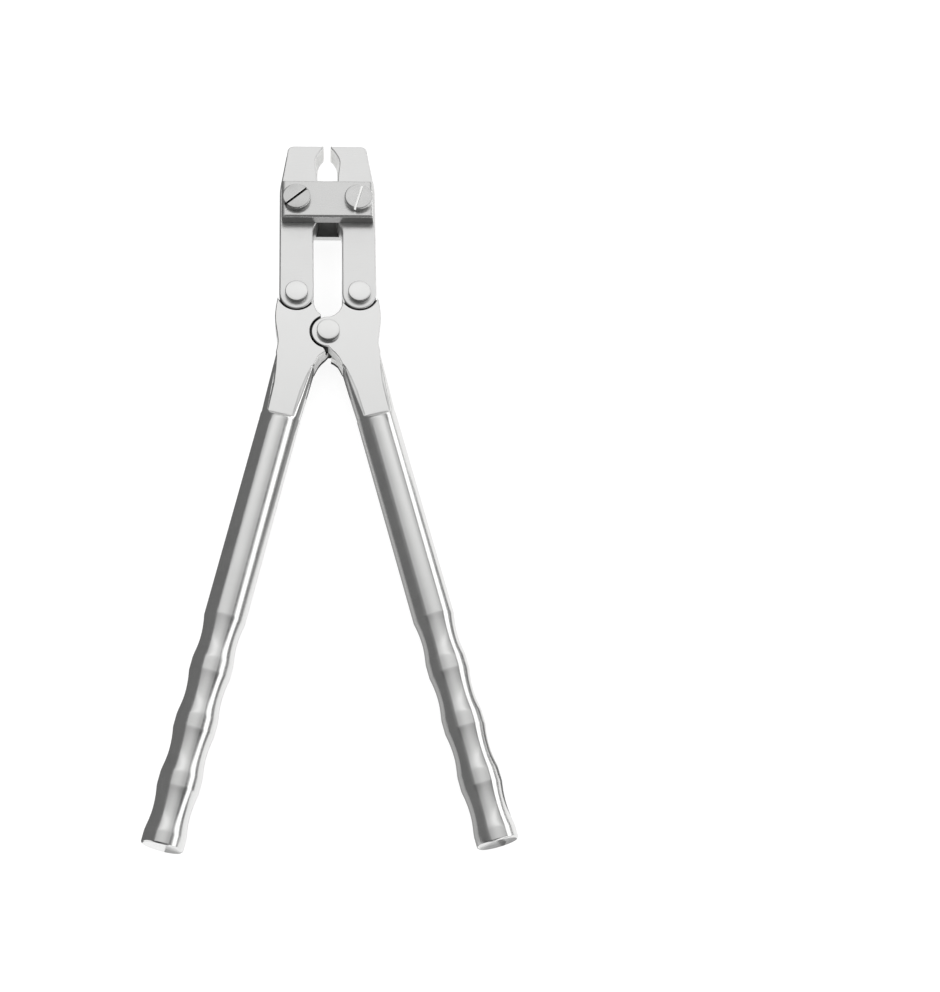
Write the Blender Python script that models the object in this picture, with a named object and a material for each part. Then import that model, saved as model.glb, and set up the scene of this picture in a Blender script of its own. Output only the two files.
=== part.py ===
"""Double-action pin cutter, about 260 mm long, lying flat.

Two side plates carry a pair of jaws on slotted screws. Each jaw's forked lower
end holds the tongue of a handle, and the two handles cross in a half-lap joint
on one pivot pin. Squeezing the handles spreads the lower ends of the jaws and
closes the cutting tips.

The design frame has the pivot pin at X = Y = 0, the tips towards +Y, the
handles towards -Y and the mid-plane of the tool at Z = 0. Every object is then
placed so that the world origin is under the middle of the tool, on the plane
that the rear plate lies on. All dimensions are in metres, and the tool is drawn
in its open pose.
"""

import math

import bmesh
import bpy
from mathutils import Matrix, Vector

MM = 0.001

# ---- joints, in the plane of the tool -------------------------------------
JAW_X = 11.2 * MM  # screws and jaw pins, either side of the middle
SCREW_Y = 51.2 * MM  # jaw screws above the pivot pin
PIN_Y = 15.3 * MM  # jaw pins above the pivot pin

# ---- jaws ------------------------------------------------------------------
JAW_T = 10.1 * MM  # full thickness of a jaw and of a handle head
JAW_HALF = 6.15 * MM  # half width of the parallel lower limb
JAW_END_R = 6.35 * MM  # its round lower end
TIP_Y = 76.2 * MM  # top of the tips
EDGE_LAND = 0.25 * MM  # half the flat left along the cutting edge
FORK_T = 4.6 * MM  # width of the slot in the fork
FORK_DEPTH = 7.2 * MM  # how far the slot goes up past the pin

# ---- side plates -----------------------------------------------------------
PLATE_HALF_X = 16.6 * MM
PLATE_HALF_Y = 7.6 * MM
PLATE_Y = 51.4 * MM
PLATE_T = 4.3 * MM
PLATE_CHAMFER = 0.85 * MM
REAR_CHAMFER = 1.9 * MM  # the rear plate's outer edges are broken more
END_SHARE = 1.65  # the front plate's chamfers are wider on its short ends
SLIDE_GAP = 0.15 * MM  # play between faces that slide on each other

# ---- screws and pins -------------------------------------------------------
SCREW_HEAD_R = 5.12 * MM
SCREW_HEAD_H = 2.1 * MM
SCREW_SHANK_R = 3.22 * MM
SLOT_W = 0.8 * MM
SLOT_DEPTH = 1.4 * MM
SLOT_ANGLES = {-1: 41.0, 1: 74.0}
PIN_HEAD_R = 4.03 * MM
PIN_HEAD_H = 1.8 * MM
PIN_SHANK_R = 2.5 * MM
PIVOT_SHANK_R = 2.6 * MM
HOLE_PLAY = 0.08 * MM  # radial play round a shank
PIVOT_PLAY = 0.4 * MM  # radial play where the linkage is left open

# ---- handles ---------------------------------------------------------------
HANDLE_ANGLE = math.radians(13.85)  # each handle from the middle, at rest
AXIS_OFFSET = 8.79 * MM  # from the pivot to the axis of the round bar
BAR_R = 7.05 * MM
FLAT_END = 34.3 * MM  # where the milled flats stop, along the bar
RUNOUT_R = 1.9 * MM
GRIP_START = 110.7 * MM
GRIP_PITCH = 19.7 * MM
GRIP_CHORD = 15.2 * MM  # length of each scallop, with a land between it and the next
GRIP_SCALLOPS = 4
GRIP_DEPTH = 0.8 * MM
LAND_R = 6.93 * MM
BAR_END = 189.0 * MM
END_CHAMFER = 0.5 * MM
HEAD_ROUND_R = 8.7 * MM  # corner round of the flat shank, where it leaves the head
SHANK_HALF = 7.08 * MM  # half width of the flat shank
TONGUE_T = 4.2 * MM
TONGUE_R = 6.0 * MM
SHOULDER_R = 6.85 * MM  # pocket in the head that the end of the jaw turns in
BOSS_R = 5.9 * MM
POCKET_R = 6.6 * MM
LAP_GAP = 0.08 * MM  # half the play between the two halves of the lap joint

BAR_SIDES = 32
ROUND = 40

PLATE_TOP = JAW_T / 2 + SLIDE_GAP + PLATE_T


def bar_profile():
    """(distance along the bar, radius) down the round bar, with the grip's scallops."""
    points = [(60 * MM, BAR_R), (85 * MM, BAR_R)]
    land = BAR_R
    for scallop in range(GRIP_SCALLOPS):
        start = GRIP_START + GRIP_PITCH * scallop
        for x in (-1.0, -0.8, -0.55, -0.28, 0.0, 0.28, 0.55, 0.8, 1.0):
            depth = GRIP_DEPTH * (1 - x * x) ** (1.0 if x < 0 else 1.5)
            edge = land + (LAND_R - land) * (x + 1) / 2
            points.append((start + GRIP_CHORD * (x + 1) / 2, edge - depth))
        land = LAND_R
    points.append((BAR_END - END_CHAMFER, LAND_R))
    points.append((BAR_END, LAND_R - END_CHAMFER))
    return points


def on_bar(t, w):
    """The point of the right-hand handle at t along its bar and w outward from the bar's axis."""
    sin, cos = math.sin(HANDLE_ANGLE), math.cos(HANDLE_ANGLE)
    return ((AXIS_OFFSET + w) * cos + t * sin, (AXIS_OFFSET + w) * sin - t * cos)


LOWEST_Y = min(on_bar(t, -r)[1] for t, r in bar_profile())
CENTRE = Vector((0.0, -(TIP_Y + LOWEST_Y) / 2, PLATE_TOP))


# ---- small helpers ---------------------------------------------------------
def clear_scene():
    for obj in list(bpy.data.objects):
        bpy.data.objects.remove(obj, do_unlink=True)


def steel(name, colour, roughness):
    material = bpy.data.materials.new(name)
    material.use_nodes = True
    shader = material.node_tree.nodes["Principled BSDF"]
    shader.inputs["Base Color"].default_value = (*colour, 1.0)
    shader.inputs["Roughness"].default_value = roughness
    shader.inputs["Metallic"].default_value = 1.0
    material.diffuse_color = (*colour, 1.0)
    return material


def finish(bm, name, origin=(0.0, 0.0, 0.0), material=None, smooth=30.0):
    """Makes an object of the bmesh, whose points are in the design frame, with its origin at the given point."""
    bmesh.ops.recalc_face_normals(bm, faces=bm.faces)
    origin = Vector(origin)
    bmesh.ops.translate(bm, vec=-origin, verts=bm.verts)
    mesh = bpy.data.meshes.new(name)
    bm.to_mesh(mesh)
    bm.free()
    mesh.shade_smooth()
    mesh.set_sharp_from_angle(angle=math.radians(smooth))
    obj = bpy.data.objects.new(name, mesh)
    bpy.context.scene.collection.objects.link(obj)
    obj.location = origin + CENTRE
    if material:
        mesh.materials.append(material)
    return obj


def prism(points, low, high):
    """A closed prism over an outline."""
    bm = bmesh.new()
    face = bm.faces.new([bm.verts.new((x, y, low)) for x, y in points])
    lifted = bmesh.ops.extrude_face_region(bm, geom=[face])
    bmesh.ops.translate(
        bm,
        vec=(0, 0, high - low),
        verts=[item for item in lifted["geom"] if isinstance(item, bmesh.types.BMVert)],
    )
    return bm


def loft(layers):
    """A closed solid through outlines with equal numbers of points, one above the other."""
    bm = bmesh.new()
    rings = [[bm.verts.new((x, y, z)) for x, y in points] for z, points in layers]
    for lower, upper in zip(rings, rings[1:]):
        for i in range(len(lower)):
            j = (i + 1) % len(lower)
            bm.faces.new((lower[i], lower[j], upper[j], upper[i]))
    bm.faces.new(list(reversed(rings[0])))
    bm.faces.new(rings[-1])
    return bm


def lathe(profile, centre, axis, sides):
    """A solid of revolution. The profile is (distance along the axis, radius)."""
    axis = Vector(axis).normalized()
    side = axis.orthogonal().normalized()
    other = axis.cross(side)
    bm = bmesh.new()
    rings = []
    for t, r in profile:
        middle = Vector(centre) + axis * t
        rings.append(
            [
                bm.verts.new(
                    middle + side * (r * math.cos(2 * math.pi * k / sides)) + other * (r * math.sin(2 * math.pi * k / sides))
                )
                for k in range(sides)
            ]
        )
    for first, second in zip(rings, rings[1:]):
        for k in range(sides):
            j = (k + 1) % sides
            bm.faces.new((first[k], first[j], second[j], second[k]))
    bm.faces.new(list(reversed(rings[0])))
    bm.faces.new(rings[-1])
    return bm


def disc(x, y, r, low, high, sides=ROUND):
    return lathe([(low, r), (high, r)], (x, y, 0), (0, 0, 1), sides)


def box(low, high):
    bm = bmesh.new()
    bmesh.ops.create_cube(bm, size=1.0)
    for vert in bm.verts:
        vert.co = Vector([low[i] if vert.co[i] < 0 else high[i] for i in range(3)])
    return bm


def combine(target, tool, operation):
    """Adds a live Boolean, and turns the tool into a hidden helper that follows its piece."""
    modifier = target.modifiers.new(tool.name, "BOOLEAN")
    modifier.operation = operation
    modifier.object = tool
    modifier.solver = "EXACT"
    tool.hide_render = True
    tool.display_type = "WIRE"
    place = tool.location.copy()
    tool.parent = target
    tool.location = place - target.location


def arc(cx, cy, r, start, end, count):
    """Points of an arc, with angles in degrees."""
    return [
        (
            cx + r * math.cos(math.radians(start + (end - start) * i / count)),
            cy + r * math.sin(math.radians(start + (end - start) * i / count)),
        )
        for i in range(count + 1)
    ]


def smooth_run(points, per_span=3):
    """A Catmull-Rom curve through the points."""
    out = []
    for i in range(len(points) - 1):
        p0, p1 = points[max(i - 1, 0)], points[i]
        p2, p3 = points[i + 1], points[min(i + 2, len(points) - 1)]
        for k in range(per_span):
            u = k / per_span
            out.append(
                tuple(
                    0.5
                    * (
                        2 * p1[c]
                        + (p2[c] - p0[c]) * u
                        + (2 * p0[c] - 5 * p1[c] + 4 * p2[c] - p3[c]) * u**2
                        + (3 * p1[c] - p0[c] - 3 * p2[c] + p3[c]) * u**3
                    )
                    for c in (0, 1)
                )
            )
    out.append(points[-1])
    return out


def in_mm(points):
    return [(x * MM, y * MM) for x, y in points]


def mirrored(points, side):
    """The outline for the right-hand side, or turned over for the left-hand side."""
    return points if side > 0 else [(-x, y) for x, y in reversed(points)]


# ---- side plates -----------------------------------------------------------
def side_plate(name, front, material):
    """A plate with rounded upright corners, and its outer face chamfered all round."""
    sign = 1 if front else -1
    corner = 1.0 * MM

    chamfer = PLATE_CHAMFER if sign > 0 else REAR_CHAMFER
    ends = END_SHARE if sign > 0 else 1.0

    def outline(inset):
        hx, hy, r = PLATE_HALF_X - inset * ends, PLATE_HALF_Y - inset, corner
        points = []
        for cx, cy, start in ((1, 1, 0), (-1, 1, 90), (-1, -1, 180), (1, -1, 270)):
            points += arc(cx * (hx - r), PLATE_Y + cy * (hy - r), r, start, start + 90, 3)
        return points

    inner = JAW_T / 2 + SLIDE_GAP
    layers = [
        (sign * inner, outline(0.0)),
        (sign * (PLATE_TOP - chamfer), outline(0.0)),
        (sign * PLATE_TOP, outline(chamfer)),
    ]
    if not front:
        layers.reverse()
    plate = finish(loft(layers), name, (0, PLATE_Y, sign * inner), material)
    for side in (-1, 1):
        hole = finish(
            disc(side * JAW_X, SCREW_Y, SCREW_SHANK_R + HOLE_PLAY, -PLATE_TOP - MM, PLATE_TOP + MM),
            f"{name}_hole_{'left' if side < 0 else 'right'}",
        )
        combine(plate, hole, "DIFFERENCE")
    return plate


# ---- screws and pins -------------------------------------------------------
def jaw_screw(name, side, material):
    """A cheese-head screw: rounded rim, cross slot, and a shank through both plates."""
    seat = PLATE_TOP + 0.1 * MM
    r, h = SCREW_HEAD_R, SCREW_HEAD_H
    profile = [
        (-PLATE_TOP + 0.25 * MM, SCREW_SHANK_R - 0.35 * MM),
        (-PLATE_TOP + 0.6 * MM, SCREW_SHANK_R),
        (seat, SCREW_SHANK_R),
        (seat, r - 0.12 * MM),
        (seat + 0.15 * MM, r),
        (seat + h - 0.6 * MM, r),
        (seat + h - 0.26 * MM, r - 0.12 * MM),
        (seat + h - 0.07 * MM, r - 0.38 * MM),
        (seat + h, r - 0.85 * MM),
    ]
    x, y = side * JAW_X, SCREW_Y
    screw = finish(lathe(profile, (x, y, 0), (0, 0, 1), ROUND), name, (x, y, 0), material)
    slot = box((-r - MM, -SLOT_W / 2, seat + h - SLOT_DEPTH), (r + MM, SLOT_W / 2, seat + h + MM))
    bmesh.ops.rotate(slot, cent=(0, 0, 0), matrix=Matrix.Rotation(math.radians(SLOT_ANGLES[side]), 3, "Z"), verts=slot.verts)
    bmesh.ops.translate(slot, vec=(x, y, 0), verts=slot.verts)
    combine(screw, finish(slot, f"{name}_slot", (x, y, 0)), "DIFFERENCE")
    return screw


def rivet_pin(name, x, y, shank, material):
    """A pin with a flat round head at each end."""
    r, h = PIN_HEAD_R, PIN_HEAD_H
    seat = JAW_T / 2 + 0.1 * MM
    head = [(seat, shank), (seat, r), (seat + h - 0.5 * MM, r), (seat + h - 0.15 * MM, r - 0.15 * MM), (seat + h, r - 0.5 * MM)]
    profile = [(-t, radius) for t, radius in reversed(head)] + head
    return finish(lathe(profile, (x, y, 0), (0, 0, 1), ROUND), name, (x, y, 0), material)


# ---- jaws ------------------------------------------------------------------
# The inner side of a jaw from its tip down: first on the flat faces, then at
# mid-thickness, where the two bevels meet in the cutting edge.
JAW_INNER_FACE = in_mm(
    [
        (1.18, 76.2), (1.3, 75.3), (2.05, 74.45), (2.75, 73.45), (3.4, 72.3), (4.05, 71.0), (4.33, 69.7), (4.35, 68.4),
        (4.1, 66.4), (3.85, 64.2), (3.68, 61.8), (3.4, 57.0), (3.1, 52.9), (3.1, 49.7), (3.4, 46.5),
        (4.05, 43.9), (4.75, 42.4), (5.15, 40.8), (5.22, 39.0), (5.15, 34.0),
    ]
)  # fmt: skip
JAW_INNER_EDGE = in_mm(
    [
        (1.2, 76.2), (1.27, 75.5), (1.38, 74.6), (1.52, 73.7), (1.82, 72.6), (2.55, 71.2), (3.15, 69.8), (3.5, 68.6),
        (3.68, 66.6), (3.7, 64.3), (3.68, 61.8), (3.4, 57.0), (3.1, 52.9), (3.1, 49.7), (3.4, 46.5),
        (4.05, 43.9), (4.75, 42.4), (5.15, 40.8), (5.22, 39.0), (5.15, 34.0),
    ]
)  # fmt: skip


def jaw(name, side, material):
    """A jaw lofted through its two flat faces and its mid-plane, then forked and drilled."""
    x, outer, half = JAW_X, JAW_X + JAW_HALF, JAW_T / 2
    rest = [(x + (px - x) * JAW_HALF / JAW_END_R, py) for px, py in arc(x, PIN_Y, JAW_END_R, 180, 360, 16)]
    rest += [(outer, 36 * MM), (outer - 0.03 * MM, 57.5 * MM), (14.72 * MM, 73.6 * MM)]
    rest += arc(12.23 * MM, 73.7 * MM, 2.5 * MM, 9, 90, 4)
    faces = mirrored(JAW_INNER_FACE + rest, side)
    middle = mirrored(JAW_INNER_EDGE + rest, side)
    origin = (side * JAW_X, SCREW_Y, 0)
    layers = [(-half, faces), (-EDGE_LAND, middle), (EDGE_LAND, middle), (half, faces)]
    piece = finish(loft(layers), name, origin, material, 22.0)
    slot = box(
        (side * x - JAW_HALF - 2 * MM, PIN_Y - JAW_HALF - 2 * MM, -FORK_T / 2),
        (side * x + JAW_HALF + 2 * MM, PIN_Y + FORK_DEPTH, FORK_T / 2),
    )
    combine(piece, finish(slot, f"{name}_fork", origin), "DIFFERENCE")
    pin = disc(side * x, PIN_Y, PIN_SHANK_R + HOLE_PLAY, -JAW_T, JAW_T, 32)
    combine(piece, finish(pin, f"{name}_pin_hole", origin), "DIFFERENCE")
    screw = disc(side * x, SCREW_Y, SCREW_SHANK_R + HOLE_PLAY, -JAW_T, JAW_T, 32)
    combine(piece, finish(screw, f"{name}_screw_hole", origin), "DIFFERENCE")
    return piece


# ---- handles ---------------------------------------------------------------
# The two halves of the lap joint, in the plane of the tool and on the right-hand
# handle. The front half fills the middle with a round boss. The rear half is cut
# back to a pocket round the other handle's boss, and hooks under it.
CROTCH_FRONT = [(1.33, -7.4), (2.4, -8.4), (3.6, -10.0)]
CROTCH_REAR = [(1.296, -7.37), (1.0, -8.1), (2.0, -8.6), (3.2, -9.6), (3.66, -10.2), (4.1, -11.05), (4.9, -12.75)]


def head_outline():
    """The right-hand handle's head in the plane of the tool, with both halves of the lap joint."""
    outer = [on_bar(t * MM, w * MM) for t, w in ((36, 4.4), (24, 4.9), (18, 5.8), (14, 6.6), (12, 7.2))]
    bulge = smooth_run(
        in_mm([(18.2, -7.0), (17.8, -4.5), (17.85, -2.5), (18.3, 1.0), (18.7, 4.0), (18.75, 7.0), (18.4, 10.5), (17.75, 14.0)]), 2
    )  # fmt: skip
    window = in_mm([(5.1, 12.5), (5.0, 11.0), (4.65, 9.6), (3.95, 8.3), (3.2, 7.45), (2.55, 6.85), (1.7, 6.35), (1.0, 6.05)])
    boss = arc(0, 0, BOSS_R, 88, 270, 22)
    crotch = in_mm([(0.9, -7.0)] + CROTCH_REAR)
    inner = [on_bar(t * MM, w * MM) for t, w in ((15, -6.4), (19, -5.6), (25, -4.8), (36, -4.4))]
    return outer + bulge + window + boss + crotch + inner


def section(r, half_t, half_w, corner):
    """A round of radius r, cut flat at half_t from the mid-plane and half_w from the middle.

    It has an edge line exactly on each corner. The corner is the least angle of
    the first one, in degrees, where the sides aren't cut.
    """
    side_cut = math.degrees(math.acos(min(half_w / r, 1.0)))
    second = math.degrees(math.asin(half_t / r)) if half_t < r else 67.5
    first = min(max(side_cut, corner), second - 2.0)
    angles = [0, first / 2] + [first + (second - first) * i / 4 for i in range(5)] + [(second + 90) / 2]
    angles += [180 - a for a in [90] + angles[:0:-1]]
    points = []
    for a in angles + [180 + a for a in angles]:
        a = math.radians(a)
        reach = min(r, half_w / max(abs(math.cos(a)), 1e-9), half_t / max(abs(math.sin(a)), 1e-9))
        points.append((reach * math.cos(a), reach * math.sin(a)))
    return points


def shank_and_bar():
    """The round bar, with its upper end milled to the thickness and width of the head."""
    half = JAW_T / 2
    start, wide = 11.5 * MM, 4 * BAR_R
    sections = []
    for i in range(7):
        u = i / 6
        t = start + (FLAT_END - start) * u
        sections.append((t, HEAD_ROUND_R + (BAR_R - HEAD_ROUND_R) * u, half, SHANK_HALF, 12.0))
    for degrees, corner in ((28, 14.0), (52, 16.0), (70, 18.0), (84, 20.0)):
        a = math.radians(degrees)
        sections.append((FLAT_END + RUNOUT_R * math.sin(a), BAR_R, half + RUNOUT_R * (1 - math.cos(a)), wide, corner))
    sections.append((FLAT_END + RUNOUT_R + 0.15 * MM, BAR_R, wide, wide, 22.5))
    sections += [(t, r, wide, wide, 22.5) for t, r in bar_profile()]
    bm = bmesh.new()
    rings = []
    for t, *shape in sections:
        rings.append([bm.verts.new((*on_bar(t, w), z)) for w, z in section(*shape)])
    for first, second in zip(rings, rings[1:]):
        for k in range(BAR_SIDES):
            j = (k + 1) % BAR_SIDES
            bm.faces.new((first[k], first[j], second[j], second[k]))
    bm.faces.new(list(reversed(rings[0])))
    bm.faces.new(rings[-1])
    return bm


def handle(name, side, material):
    """A handle: lapped head, tongue for the jaw's fork, and a round bar with a waved grip.

    The left-hand handle is the right-hand one turned over about the Y axis.
    """
    half = JAW_T / 2
    origin = (side * JAW_X, PIN_Y, 0)

    def part(bm, suffix):
        if side < 0:
            for vert in bm.verts:
                vert.co.x, vert.co.z = -vert.co.x, -vert.co.z
        return finish(bm, f"{name}{suffix}", origin, material if not suffix else None, 24.0)

    piece = part(prism(head_outline(), -half, half), "")
    combine(piece, part(shank_and_bar(), "_bar"), "UNION")

    # The rear half gives way to the other handle's boss, the front half to its hook.
    pocket = in_mm([(3.0, 7.7), (2.62, 6.7)]) + arc(0, 0, POCKET_R, 67, -73, 20)
    pocket += in_mm([(1.78, -6.5), (1.1, -7.6), (0.0, -9.0), (-9.0, -9.0), (-9.0, 9.0), (2.0, 9.0)])
    combine(piece, part(prism(pocket, -half - MM, LAP_GAP), "_pocket"), "DIFFERENCE")
    hook = in_mm([(0.8, -7.45)] + CROTCH_FRONT + [(3.4, -10.6), (-2.0, -12.0)])
    combine(piece, part(prism(hook, -LAP_GAP, half + MM), "_hook"), "DIFFERENCE")

    for face in (1, -1):
        low, high = sorted((face * TONGUE_T / 2, face * JAW_T))
        shoulder = disc(JAW_X, PIN_Y, SHOULDER_R, low, high, 48)
        combine(piece, part(shoulder, f"_shoulder_{'front' if face > 0 else 'rear'}"), "DIFFERENCE")
    tongue = disc(JAW_X, PIN_Y, TONGUE_R, -TONGUE_T / 2, TONGUE_T / 2)
    combine(piece, part(tongue, "_tongue"), "UNION")
    hole = disc(JAW_X, PIN_Y, PIN_SHANK_R + HOLE_PLAY, -JAW_T, JAW_T, 32)
    combine(piece, part(hole, "_pin_hole"), "DIFFERENCE")
    play = HOLE_PLAY if side > 0 else PIVOT_PLAY
    hole = disc(0, 0, PIVOT_SHANK_R + play, -JAW_T, JAW_T, 32)
    combine(piece, part(hole, "_pivot_hole"), "DIFFERENCE")
    return piece


def main():
    clear_scene()
    satin = (0.72, 0.72, 0.71)
    side_plate("front_plate", True, steel("plate_front_steel", (0.66, 0.66, 0.65), 0.3))
    side_plate("rear_plate", False, steel("plate_rear_steel", (0.66, 0.66, 0.65), 0.3))
    jaw_screw("screw_left", -1, steel("screw_left_steel", (0.6, 0.6, 0.6), 0.26))
    jaw_screw("screw_right", 1, steel("screw_right_steel", (0.6, 0.6, 0.6), 0.26))
    jaw("jaw_left", -1, steel("jaw_left_steel", satin, 0.32))
    jaw("jaw_right", 1, steel("jaw_right_steel", satin, 0.32))
    rivet_pin("jaw_pin_left", -JAW_X, PIN_Y, PIN_SHANK_R, steel("pin_left_steel", (0.75, 0.75, 0.74), 0.28))
    rivet_pin("jaw_pin_right", JAW_X, PIN_Y, PIN_SHANK_R, steel("pin_right_steel", (0.75, 0.75, 0.74), 0.28))
    rivet_pin("pivot_pin", 0.0, 0.0, PIVOT_SHANK_R, steel("pivot_pin_steel", (0.75, 0.75, 0.74), 0.28))
    handle("handle_left", -1, steel("handle_left_steel", satin, 0.3))
    handle("handle_right", 1, steel("handle_right_steel", satin, 0.3))


main()
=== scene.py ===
"""Looks of the pin cutter: fine meshes, brushed steel, a pale floor and soft studio light."""

import math

import bmesh
import bpy
from mathutils import Matrix, Vector


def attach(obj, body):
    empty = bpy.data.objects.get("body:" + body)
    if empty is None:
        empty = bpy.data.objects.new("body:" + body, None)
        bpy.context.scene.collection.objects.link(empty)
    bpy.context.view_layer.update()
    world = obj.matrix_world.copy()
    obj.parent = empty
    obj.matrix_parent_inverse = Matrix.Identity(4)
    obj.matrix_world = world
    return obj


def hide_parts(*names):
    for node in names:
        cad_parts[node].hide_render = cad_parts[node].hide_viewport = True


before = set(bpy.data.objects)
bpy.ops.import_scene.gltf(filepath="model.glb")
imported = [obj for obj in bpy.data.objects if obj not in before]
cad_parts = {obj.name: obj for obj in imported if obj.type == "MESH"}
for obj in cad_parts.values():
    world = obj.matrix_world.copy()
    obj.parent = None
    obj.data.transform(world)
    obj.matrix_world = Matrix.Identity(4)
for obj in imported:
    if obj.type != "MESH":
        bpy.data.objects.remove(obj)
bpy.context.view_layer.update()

MM = 0.001

# ---- the same driving dimensions as the construction ------------------------
JAW_X, SCREW_Y, PIN_Y = 11.2, 51.2, 15.3
JAW_T, JAW_HALF, JAW_END_R = 10.1, 6.15, 6.35
TIP_Y, EDGE_LAND = 76.2, 0.25
FORK_T, FORK_DEPTH = 4.6, 7.2
PLATE_HALF_X, PLATE_HALF_Y, PLATE_Y = 16.6, 7.6, 51.4
PLATE_T, PLATE_CHAMFER, REAR_CHAMFER, SLIDE_GAP = 4.3, 0.85, 1.9, 0.15
SCREW_HEAD_R, SCREW_HEAD_H, SCREW_SHANK_R = 5.12, 2.1, 3.22
SLOT_W, SLOT_DEPTH, SLOT_ANGLES = 0.8, 1.4, {-1: 41.0, 1: 74.0}
PIN_HEAD_R, PIN_HEAD_H, PIN_SHANK_R, PIVOT_SHANK_R = 4.03, 1.8, 2.5, 2.6
HOLE_PLAY, PIVOT_PLAY = 0.08, 0.4
HANDLE_ANGLE, AXIS_OFFSET, BAR_R = math.radians(13.85), 8.79, 7.05
FLAT_END, RUNOUT_R = 34.3, 1.9
GRIP_START, GRIP_PITCH, GRIP_CHORD, GRIP_SCALLOPS = 110.7, 19.7, 15.2, 4
GRIP_DEPTH, LAND_R, BAR_END, END_CHAMFER = 0.8, 6.93, 189.0, 0.5
HEAD_ROUND_R, SHANK_HALF = 8.7, 7.08
TONGUE_T, TONGUE_R, SHOULDER_R = 4.2, 6.0, 6.85
BOSS_R, POCKET_R, LAP_GAP = 5.9, 6.6, 0.08
HALF = JAW_T / 2
PLATE_TOP = HALF + SLIDE_GAP + PLATE_T

SIN, COS = math.sin(HANDLE_ANGLE), math.cos(HANDLE_ANGLE)


def on_bar(t, w):
    return ((AXIS_OFFSET + w) * COS + t * SIN, (AXIS_OFFSET + w) * SIN - t * COS)


LOWEST_Y = on_bar(BAR_END, END_CHAMFER - LAND_R)[1]
CENTRE = Vector((0.0, -(TIP_Y + LOWEST_Y) / 2, PLATE_TOP))  # in mm


# ---- camera -----------------------------------------------------------------
camera = bpy.data.objects.new("camera", bpy.data.cameras.new("camera"))
bpy.context.scene.collection.objects.link(camera)
camera.data.sensor_width = 36.0
camera.data.lens = 68.168
camera.data.shift_x = 0.0490
camera.data.shift_y = -0.00045
camera.data.clip_start, camera.data.clip_end = 0.05, 20.0
forward = Vector((0.058511, 0.373068, -0.925957)).normalized()
up = Vector((-0.003129, 0.927610, 0.373536)).normalized()
right = forward.cross(up).normalized()
up = (up + right * 0.0046).normalized()
right = forward.cross(up).normalized()
up = right.cross(forward).normalized()
camera.matrix_world = Matrix.Translation((Vector((-6.061, -302.279, 599.721)) + CENTRE) * MM) @ Matrix(
    (
        (right.x, up.x, -forward.x, 0),
        (right.y, up.y, -forward.y, 0),
        (right.z, up.z, -forward.z, 0),
        (0, 0, 0, 1),
    )
)
bpy.context.scene.camera = camera


# ---- geometry helpers, in mm about the pivot ---------------------------------
def arc(cx, cy, r, start, end, count):
    return [
        (
            cx + r * math.cos(math.radians(start + (end - start) * i / count)),
            cy + r * math.sin(math.radians(start + (end - start) * i / count)),
        )
        for i in range(count + 1)
    ]


def smooth_run(points, per_span):
    """A Catmull-Rom curve through the points."""
    out = []
    for i in range(len(points) - 1):
        p0, p1 = points[max(i - 1, 0)], points[i]
        p2, p3 = points[i + 1], points[min(i + 2, len(points) - 1)]
        for k in range(per_span):
            u = k / per_span
            out.append(
                tuple(
                    0.5
                    * (
                        2 * p1[c]
                        + (p2[c] - p0[c]) * u
                        + (2 * p0[c] - 5 * p1[c] + 4 * p2[c] - p3[c]) * u**2
                        + (3 * p1[c] - p0[c] - 3 * p2[c] + p3[c]) * u**3
                    )
                    for c in (0, 1)
                )
            )
    out.append(points[-1])
    return out


def area_of(points):
    return 0.5 * sum(
        points[i][0] * points[(i + 1) % len(points)][1] - points[(i + 1) % len(points)][0] * points[i][1]
        for i in range(len(points))
    )


def inset(points, d):
    """The outline moved inwards by d at every point, along the mean of its two sides' normals."""
    sign = 1 if area_of(points) > 0 else -1
    out = []
    n = len(points)
    for i in range(n):
        ax, ay = points[i - 1]
        bx, by = points[i]
        cx, cy = points[(i + 1) % n]
        e1 = Vector((bx - ax, by - ay))
        e2 = Vector((cx - bx, cy - by))
        if e1.length < 1e-9 or e2.length < 1e-9:
            out.append((bx, by))
            continue
        n1 = Vector((-e1.y, e1.x)).normalized() * sign
        n2 = Vector((-e2.y, e2.x)).normalized() * sign
        mean = n1 + n2
        k = max(mean.dot(mean) / 2, 0.5)
        out.append((bx + mean.x / k * d, by + mean.y / k * d))
    return out


def loft(layers):
    bm = bmesh.new()
    rings = [[bm.verts.new((x, y, z)) for x, y in points] for z, points in layers]
    for lower, upper in zip(rings, rings[1:]):
        for i in range(len(lower)):
            j = (i + 1) % len(lower)
            bm.faces.new((lower[i], lower[j], upper[j], upper[i]))
    bm.faces.new(list(reversed(rings[0])))
    bm.faces.new(rings[-1])
    return bm


def rounded(points, low, high, r_low, r_high, steps=3):
    """Layers of a prism with its two rims rounded."""
    layers = []
    for i in range(steps + 1):
        a = math.pi / 2 * i / steps
        if r_low:
            layers.append((low + r_low * (1 - math.sin(a)), inset(points, r_low * (1 - math.cos(a)))))
    layers.reverse()
    if not r_low:
        layers.append((low, points))
    if not r_high:
        layers.append((high, points))
    else:
        for i in range(steps + 1):
            a = math.pi / 2 * i / steps
            layers.append((high - r_high * (1 - math.sin(a)), inset(points, r_high * (1 - math.cos(a)))))
    return layers


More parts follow.
